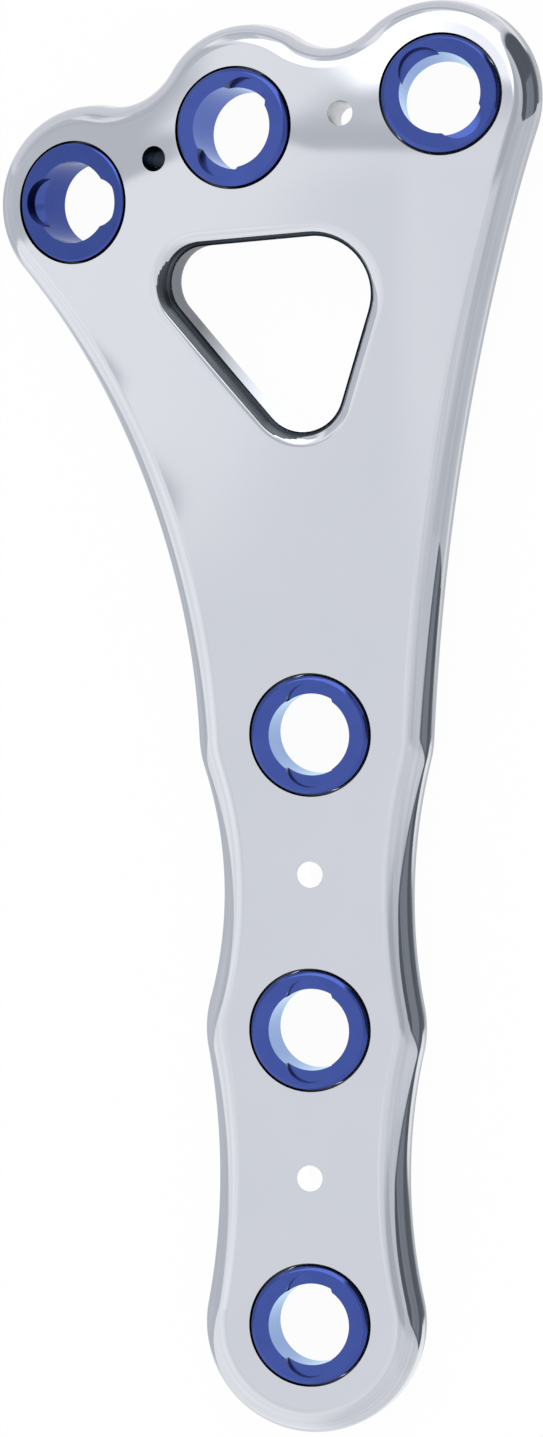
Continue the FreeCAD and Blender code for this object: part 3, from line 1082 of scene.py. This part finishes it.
@dataclass
class Studio:
    """The room round the plate: a pale dome with soft panels, a pale floor and the camera."""

    axes: PlateAxes
    zenith: str = "#fdfdff"
    # Later panels lie over earlier ones.
    panels: tuple[Panel, ...] = (
        Panel("pale_left_wall", "#ffffff", (Edge(AFTER, 112.0, 0.5), Edge(BELOW, 80.0, 0.2)), 1.10),
        Panel("ceiling_lamp_bar", "#f8f9fb", (Disc((-128.0, 77.0), 15.2, 0.03), Edge(BEFORE, -90.0, 0.03, 0.172))),
        Panel("near_wall", "#f3f3f5", band((-95.0, -32.0), (-90.0, 76.0), 0.22)),
        Panel("near_corner", "#ecedf0", band((-38.0, -12.0), (-90.0, 78.0), 0.08)),
        Panel("right_wall", "#c4c7cb", band((-11.0, 56.0), (-90.0, 76.0), 0.05)),
        Panel("right_wall_foot", "#dcdfe3", band((-14.0, 56.0), (-90.0, 46.0), 0.09)),
        Panel("ceiling_joint", "#e2e4e8", band((48.0, 150.0), (63.0, 73.0), 0.03)),
        Panel(
            "left_beam",
            "#d5d8dc",
            (
                Slant((171.9, 45.0), (166.0, 51.8), 0.018),
                Edge(BEFORE, 0.0, 0.03, -0.23),
                Edge(BEFORE, -90.0, 0.03, 0.6),
            ),
        ),
        Panel(
            "middle_beam",
            "#d3d6da",
            (
                Edge(AFTER, 0.0, 0.02, 0.13),
                Edge(BEFORE, 0.0, 0.045, -0.235),
                Edge(BEFORE, -90.0, 0.06, 0.1),
                Slant((156.6, 61.4), (159.8, 68.8), 0.014),
            ),
        ),
        Panel("far_left_wall", "#d7d9dd", band((136.0, 166.0), (2.0, 46.0), 0.035)),
        Panel("left_foot", "#efeff1", band((-174.0, -100.0), (-90.0, -40.0), 0.12)),
        Panel(
            "left_skirting",
            "#dcdee2",
            (
                Edge(AFTER, 168.0, 0.12),
                Edge(BEFORE, 197.0, 0.1),
                Edge(ABOVE, -60.0, 0.1),
                Slant((-164.0, -32.0), (177.0, 13.0), 0.1),
            ),
        ),
        Panel("left_floor", "#ced1d6", band((170.0, 199.0), (-90.0, -32.0), 0.09)),
        Panel("far_skirting", "#efeff2", band((66.0, 165.0), (-90.0, 4.0), 0.05)),
        Panel("far_ledge", "#d2d5d9", band((70.0, 124.0), (-6.0, 7.0), 0.05)),
        Panel("softbox_stand", "#dcdee2", band((106.0, 127.0), (8.0, 30.0), 0.05)),
        Panel(
            "softbox",
            "#ffffff",
            (
                Edge(AFTER, 58.0, 0.02),
                Edge(BEFORE, 127.0, 0.05),
                Edge(BELOW, 65.5, 0.02),
                Slant((82.0, 8.0), (122.0, 31.0), 0.04),
                Edge(ABOVE, 6.0, 0.04),
            ),
            1.9,
        ),
        Panel(
            "dark_doorway",
            "#62676d",
            (
                Slant((-9.5, -3.0), (-24.0, -50.0), 0.014),
                Edge(AFTER, -28.0, 0.012),
                Edge(BEFORE, 54.0, 0.02),
                Edge(BELOW, 30.0, 0.018),
                Slant((4.0, 31.0), (-8.0, 13.0), 0.016),
            ),
        ),
        Panel(
            "doorway_step",
            "#8b9096",
            (
                Slant((-7.5, -3.0), (-22.0, -50.0), 0.014),
                Edge(AFTER, -28.0, 0.012),
                Edge(BEFORE, 22.0, 0.03),
                Edge(ABOVE, -38.0, 0.12),
                Edge(BELOW, 9.0, 0.03),
            ),
        ),
        Panel("nadir", "#c6c9ce", (Disc((0.0, -90.0), 8.8, 0.0022),)),
    )
    px_per_mm: float = 12.5
    origin_px: tuple[float, float] = (310.0, 735.0)
    view_direction: tuple[float, float, float] = (0.1956, 0.0608, 0.979)
    camera_distance: float = 1.4
    sensor: float = 36.0
    clipping: tuple[float, float] = (0.05, 20.0)
    floor_size: float = 4.0
    bore_glows: tuple[Glow, ...] = (
        Glow("#e3ecff", 0.78, 6.5),
        Glow("#dcecff", 1.12, 5.0),
        *[Glow("#d9f3ff", 1.23, 4.2)] * 4,
    )
    wire_glow: Glow = Glow("#ffffff", 1.45, 1.6)
    window_glow: Glow = Glow("#f6f9ff", 1.4)
    window_spread: float = 1.15
    window_dim: float = 0.3
    window_fade: tuple[tuple[float, float], tuple[float, float]] = ((-8.0, 35.5), (-3.2, 29.0))
    spot_corners: int = 40
    spot_height: float = 0.0001
    flank_glow: Glow = Glow("#d7d9dc", 1.0)
    flank_card: tuple[tuple[float, float, float], ...] = (
        (30.0, 12.0, 12.0),
        (30.0, 12.0, -2.0),
        (30.0, 6.0, -50.0),
        (30.0, 1.0, -120.0),
        (30.0, 48.0, -120.0),
        (30.0, 48.0, 12.0),
    )

    def dome(self) -> None:
        """Build the world: pale all round, with the panels as the metal sees them and white behind the plate."""
        world = bpy.data.worlds.new("studio_dome")
        bpy.context.scene.world = world
        world.use_nodes = True
        tree = world.node_tree
        tree.nodes.clear()
        where = add_node(tree, "TexCoord").outputs["Generated"]
        light = linear(self.zenith)
        for panel in self.panels:
            light = self.hang(tree, panel, where, light)
        studio = add_node(tree, "Background", {"Color": light, "Strength": 1.0})
        white = add_node(tree, "Background", {"Color": WHITE, "Strength": 1.0})
        path = add_node(tree, "LightPath").outputs
        seen = add_node(tree, "MixShader", {0: path["Is Camera Ray"], 1: studio, 2: white})
        add_node(tree, "OutputWorld", {"Surface": seen})

    def hang(
        self, tree: bpy.types.NodeTree, panel: Panel, where: bpy.types.NodeSocket, light: bpy.types.Node | tuple
    ) -> bpy.types.Node:
        """Lay one panel over the light of the dome.

        Args:
            tree: the world's node tree.
            panel: the panel.
            where: socket with the direction.
            light: colour so far, or the node with it.

        Returns:
            The node with the new colour.
        """
        mask = None
        for edge in panel.edges:
            along, value = edge.plane(self.axes)
            measured = add_node(tree, "VectorMath", {0: where, 1: along}, operation="DOT_PRODUCT")
            span = {"From Min": value - edge.softness, "From Max": value + edge.softness}
            step = add_node(tree, "MapRange", {"Value": measured, **span}, interpolation_type="SMOOTHSTEP")
            mask = step if mask is None else add_node(tree, "Math", {0: mask, 1: step}, operation="MULTIPLY")
        colour = [c * panel.strength for c in linear(panel.colour)[:3]] + [1.0]
        return add_node(tree, "Mix", {0: mask, 6: light, 7: colour}, data_type="RGBA", label=panel.name)

    def floor(self) -> None:
        """Make the pale floor: white to the camera with the plate's soft shadow, and not reflected in the metal."""
        size = self.floor_size
        corners = [(-size, -size, 0.0), (size, -size, 0.0), (size, size, 0.0), (-size, size, 0.0)]
        floor = new_object("floor", corners, [(0, 1, 2, 3)])
        floor.data.materials.append(MattPaper().make())
        floor.visible_glossy = False

    def glow(
        self,
        name: str,
        outlines: list[np.ndarray],
        light: Glow,
        fade: tuple[Vector, float, float] | None = None,
    ) -> None:
        """Put up glowing shapes that only the metal sees, as one object.

        Args:
            name: name of the object.
            outlines: corner points of each shape, in metres in the row frame.
            light: colour and strength.
            fade: direction along which the light grows, and the places along it where it starts and is full.
        """
        starts = np.cumsum([0] + [len(outline) for outline in outlines])
        faces = [tuple(range(starts[i], starts[i + 1])) for i in range(len(outlines))]
        shapes = new_object(name, np.concatenate(outlines).tolist(), faces)
        material, tree = new_material(f"{name}_light")
        strength = light.strength
        if fade:
            where = add_node(tree, "TexCoord").outputs["Object"]
            along = add_node(tree, "VectorMath", {0: where, 1: fade[0]}, operation="DOT_PRODUCT")
            span = {"From Min": fade[1], "From Max": fade[2], "To Min": self.window_dim, "To Max": light.strength}
            strength = add_node(tree, "MapRange", {"Value": along, **span})
        lamp = add_node(tree, "Emission", {"Color": linear(light.colour), "Strength": strength})
        add_node(tree, "OutputMaterial", {"Surface": lamp})
        shapes.data.materials.append(material)
        shapes.visible_camera = False
        shapes.visible_diffuse = False
        shapes.visible_shadow = False
        shapes.visible_transmission = False

    def on_floor(self, plate: Plate, place: tuple[float, float], rim: np.ndarray) -> np.ndarray:
        """Carry a shape down to the floor, along the plate's normal at a place.

        Args:
            plate: the plate.
            place: place in plan, in millimetres.
            rim: corner points about that place, in millimetres.

        Returns:
            The corner points on the floor, in the row frame, in metres.
        """
        axis = plate.normal(np.array([place]))[0] @ self.axes.rows
        point = self.axes.place(plate.surface(np.array([place]))[0])
        foot = point - axis * point[2] / axis[2]
        return at_height(rim * MM + foot[:2], self.spot_height)

    def light_spots(self, plate: Plate) -> None:
        """Lay down the bright spots that the studio throws on the floor through the holes, and the flank's card.

        Args:
            plate: the plate with the holes.
        """
        circle = rays(np.arange(self.spot_corners) * math.tau / self.spot_corners)
        for i, (place, light) in enumerate(zip(plate.bushing_places, self.bore_glows)):
            self.glow(f"bore_spot_{i + 1}", [self.on_floor(plate, place, circle * light.radius)], light)
        # The left wire hole of the head stays dark.
        wires = [self.on_floor(plate, place, circle * self.wire_glow.radius) for place in plate.wire_places[1:]]
        self.glow("wire_spots", wires, self.wire_glow)
        rim, _ = plate.window()
        middle = rim.mean(axis=0)
        start, end = (self.on_floor(plate, tuple(middle), np.array([p]) - middle)[0] for p in self.window_fade)
        way = Vector(end - start).normalized()
        outline = self.on_floor(plate, tuple(middle), (rim - middle) * self.window_spread)
        fade = (way, float(Vector(start).dot(way)), float(Vector(end).dot(way)))
        self.glow("window_spot", [outline], self.window_glow, fade)
        self.glow("flank_card", [self.axes.place(np.array(self.flank_card))], self.flank_glow)

    def camera(self) -> None:
        """Place the camera where the photograph was taken from: high over the plate, a little to its right."""
        back = Vector(np.array(self.view_direction) @ self.axes.rows).normalized()
        along = Vector(self.axes.rows[1])
        up = (along - back * along.dot(back)).normalized()
        right = up.cross(back)
        offset_x = (self.origin_px[0] - IMAGE_SIZE[0] / 2) / self.px_per_mm * MM
        offset_y = (IMAGE_SIZE[1] / 2 - self.origin_px[1]) / self.px_per_mm * MM
        target = Vector(self.axes.origin) - right * offset_x - up * offset_y
        data = bpy.data.cameras.new("camera")
        data.sensor_width = self.sensor
        data.lens = self.sensor * self.camera_distance / (IMAGE_SIZE[1] / self.px_per_mm * MM)
        data.clip_start, data.clip_end = self.clipping
        camera = bpy.data.objects.new("camera", data)
        bpy.context.collection.objects.link(camera)
        turn = Matrix((right, up, back)).transposed().to_4x4()
        camera.matrix_world = Matrix.Translation(target + back * self.camera_distance) @ turn
        bpy.context.scene.camera = camera

    def build(self, plate: Plate) -> None:
        """Set how colours are shown, and build the studio.

        Args:
            plate: the plate that it lights.
        """
        bpy.context.scene.view_settings.view_transform = "Standard"
        self.camera()
        self.dome()
        self.floor()
        self.light_spots(plate)


@dataclass(frozen=True)
class Seat:
    """How one bushing sits in its hole: its node, how far it stands out and how its notches are turned."""

    node: str
    lift: float
    notch_angle: float
    floor_dish: float = 0.08


@dataclass
class Bushings:
    """The six locking bushings: turned rings with a broken edge, a threaded bore and two spanner notches."""

    plate: Plate
    # In the order of the plate's bushing places.
    seats: tuple[Seat, ...] = (
        Seat("head_bushing_left", 0.0, 0.0, 0.27),
        Seat("head_bushing_middle", 0.25, 67.0),
        Seat("head_bushing_right", 0.35, 130.0),
        Seat("shaft_bushing_upper", 0.5, 90.0),
        Seat("shaft_bushing_middle", 0.5, 90.0),
        Seat("shaft_bushing_lower", 0.5, 90.0),
    )
    radius: float = 4.75
    bore: float = 3.28
    foot_recess: float = 0.1
    bevel_slope: float = 0.8
    bevel_depth: float = 0.36
    bevel_foot: float = 0.15
    bevel_softness: float = 2.5
    foot_break: float = 0.12
    notch_radius: float = 1.94
    notch_offset: float = 2.25
    notch_depth: float = 1.2
    notch_points: int = 33
    land_points: int = 65
    # The face's finish, then the bore's, then that of the skirt and the notches' walls, a near-black navy that is
    # painted shade.
    finishes: tuple[AnodisedTitanium, ...] = (
        AnodisedTitanium(),
        AnodisedTitanium("blue_anodised_bore", roughness=(0.07, 0.14), ring_pitch_mm=0.5, ring_height_mm=0.004),
        AnodisedTitanium(
            "blue_anodised_painted_shade",
            colour="#17184a",
            drift="#121038",
            roughness=(0.27, 0.34),
            ring_pitch_mm=0.3,
            ring_height_mm=0.006,
        ),
    )

    def mouth(self, notch_angle: float) -> tuple[np.ndarray, np.ndarray, np.ndarray, np.ndarray]:
        """Outline of the opening in the face: the bore's circle, with the two notches bulging out of it.

        Args:
            notch_angle: direction of the first notch, in degrees.

        Returns:
            Points, directions into the opening, points of the bore at the same turns, and whether each lies on a
            notch.
        """
        reach = (self.bore**2 - self.notch_radius**2 + self.notch_offset**2) / (2 * self.notch_offset)
        half_turn = math.acos(reach / self.bore)
        half_arc = math.acos((reach - self.notch_offset) / self.notch_radius)
        points, inward, bore, notched = [], [], [], []
        for turn in (0.0, math.pi):
            first = math.radians(notch_angle) + turn
            notch = rays(first + np.linspace(-half_arc, half_arc, self.notch_points))
            behind = rays(first + np.linspace(-half_turn, half_turn, self.notch_points))
            land = rays(first + np.linspace(half_turn, math.pi - half_turn, self.land_points)[1:-1])
            centre = np.array([math.cos(first), math.sin(first)]) * self.notch_offset
            points += [centre + notch * self.notch_radius, land * self.bore]
            inward += [-notch, -land]
            bore += [behind * self.bore, land * self.bore]
            notched += [np.ones(len(notch), dtype=bool), np.zeros(len(land), dtype=bool)]
        return np.concatenate(points), np.concatenate(inward), np.concatenate(bore), np.concatenate(notched)

    def build(self, seat: Seat, place: tuple[float, float]) -> Skin:
        """Build one bushing.

        Args:
            seat: how it sits.
            place: its hole in plan.

        Returns:
            Its skin, in the plate's axes.
        """
        spot = np.array([place])
        axis = self.plate.normal(spot)[0]
        # The turn that carries the upright direction to the bushing's axis, the shortest way.
        turn = np.array(Vector((0.0, 0.0, 1.0)).rotation_difference(Vector(axis)).to_matrix())
        top = self.plate.surface(spot)[0] + axis * seat.lift
        bottom = -(self.plate.thickness + seat.lift - self.foot_recess)
        skin = Skin()

        def ring(plan: np.ndarray, z: float) -> np.ndarray:
            """Add a ring of points at a height over the bushing's face, and give their numbers."""
            return skin.add(at_height(plan, z) @ turn.T + top)

        def facing(plan: np.ndarray, z: float = 0.0) -> np.ndarray:
            """Directions that lean from the plan directions by a rise of z."""
            return unit(at_height(plan, z)) @ turn.T

        mouth, inward, bore, notched = self.mouth(seat.notch_angle)
        around = unit(mouth)
        still = np.zeros_like(mouth)
        up, down = facing(still, 1.0), facing(still, -1.0)
        wall, foot_slant = facing(around), facing(around, -1.0)
        # The bevel runs softly out of the face, and a bushing that is set flush has a small one.
        slant, soft = facing(around, self.bevel_slope), facing(around, self.bevel_softness)
        bevel_depth = min(self.bevel_depth, seat.lift + self.bevel_foot)
        flat = self.radius - bevel_depth * self.bevel_slope
        inner, outer = ring(mouth, 0.0), ring(around * flat, 0.0)
        skin.strip(inner, outer, up, up, (self.bore, flat))
        shoulder = ring(around * self.radius, -bevel_depth)
        skin.strip(outer, shoulder, soft, slant, (flat, self.radius))
        # The skirt is painted near-black navy as the shade in the gap round the bushing.
        skin.finish = Finish.MILLED_PAINTED_SHADE
        skirt = ring(around * self.radius, bottom + self.foot_break)
        skin.strip(shoulder, skirt, wall, wall, (0.0, -bottom))
        skin.finish = Finish.POLISHED
        sole = ring(around * (self.radius - self.foot_break), bottom)
        skin.strip(skirt, sole, foot_slant, foot_slant)
        foot = ring(bore, bottom)
        skin.strip(sole, foot, down, down, (self.radius, self.bore))

        deep = ring(mouth, -self.notch_depth)
        floor_edge = ring(bore, -self.notch_depth)
        skin.finish = Finish.DRILLED
        # The notches' walls are painted near-black navy as shade; their floors keep the face's blue.
        skin.strip(inner, deep, facing(inward), facing(inward), (0.0, self.notch_depth), painted_shade_quads=notched)
        skin.finish = Finish.POLISHED
        size = self.notch_points
        dished = up + facing(inward) * seat.floor_dish
        for start in (0, size + self.land_points - 2):
            part = slice(start, start + size)
            skin.strip(deep[part], floor_edge[part], dished[part], dished[part], (self.bore, self.bore), closed=False)
        skin.finish = Finish.DRILLED
        bore_inward = facing(-bore / self.bore)
        skin.strip(floor_edge, foot, bore_inward, bore_inward, (self.notch_depth, -bottom))
        return skin

    def make(self, axes: PlateAxes) -> list[bpy.types.Object]:
        """Build and dress the six bushings.

        Args:
            axes: the plate's axes in the row frame.

        Returns:
            The bushings.
        """
        materials = [finish.make() for finish in self.finishes]
        pieces = []
        for seat, place in zip(self.seats, self.plate.bushing_places):
            piece = self.build(seat, place).to_object(f"{seat.node}_turned", axes)
            for material in materials:
                piece.data.materials.append(material)
            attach(piece, "root")
            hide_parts(seat.node)
            pieces.append(piece)
        return pieces


def main() -> None:
    """Set up the studio, then build and dress the plate and its bushings."""
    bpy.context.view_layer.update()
    axes = PlateAxes()
    axes.read(frame["record"])
    plate = Plate()
    Studio(axes).build(plate)
    log.info("studio: camera, dome, floor and light spots")
    for piece in (plate.make(axes), *Bushings(plate).make(axes)):
        log.info("%s: %d faces", piece.name, len(piece.data.polygons))


if __name__ == "__main__":
    main()
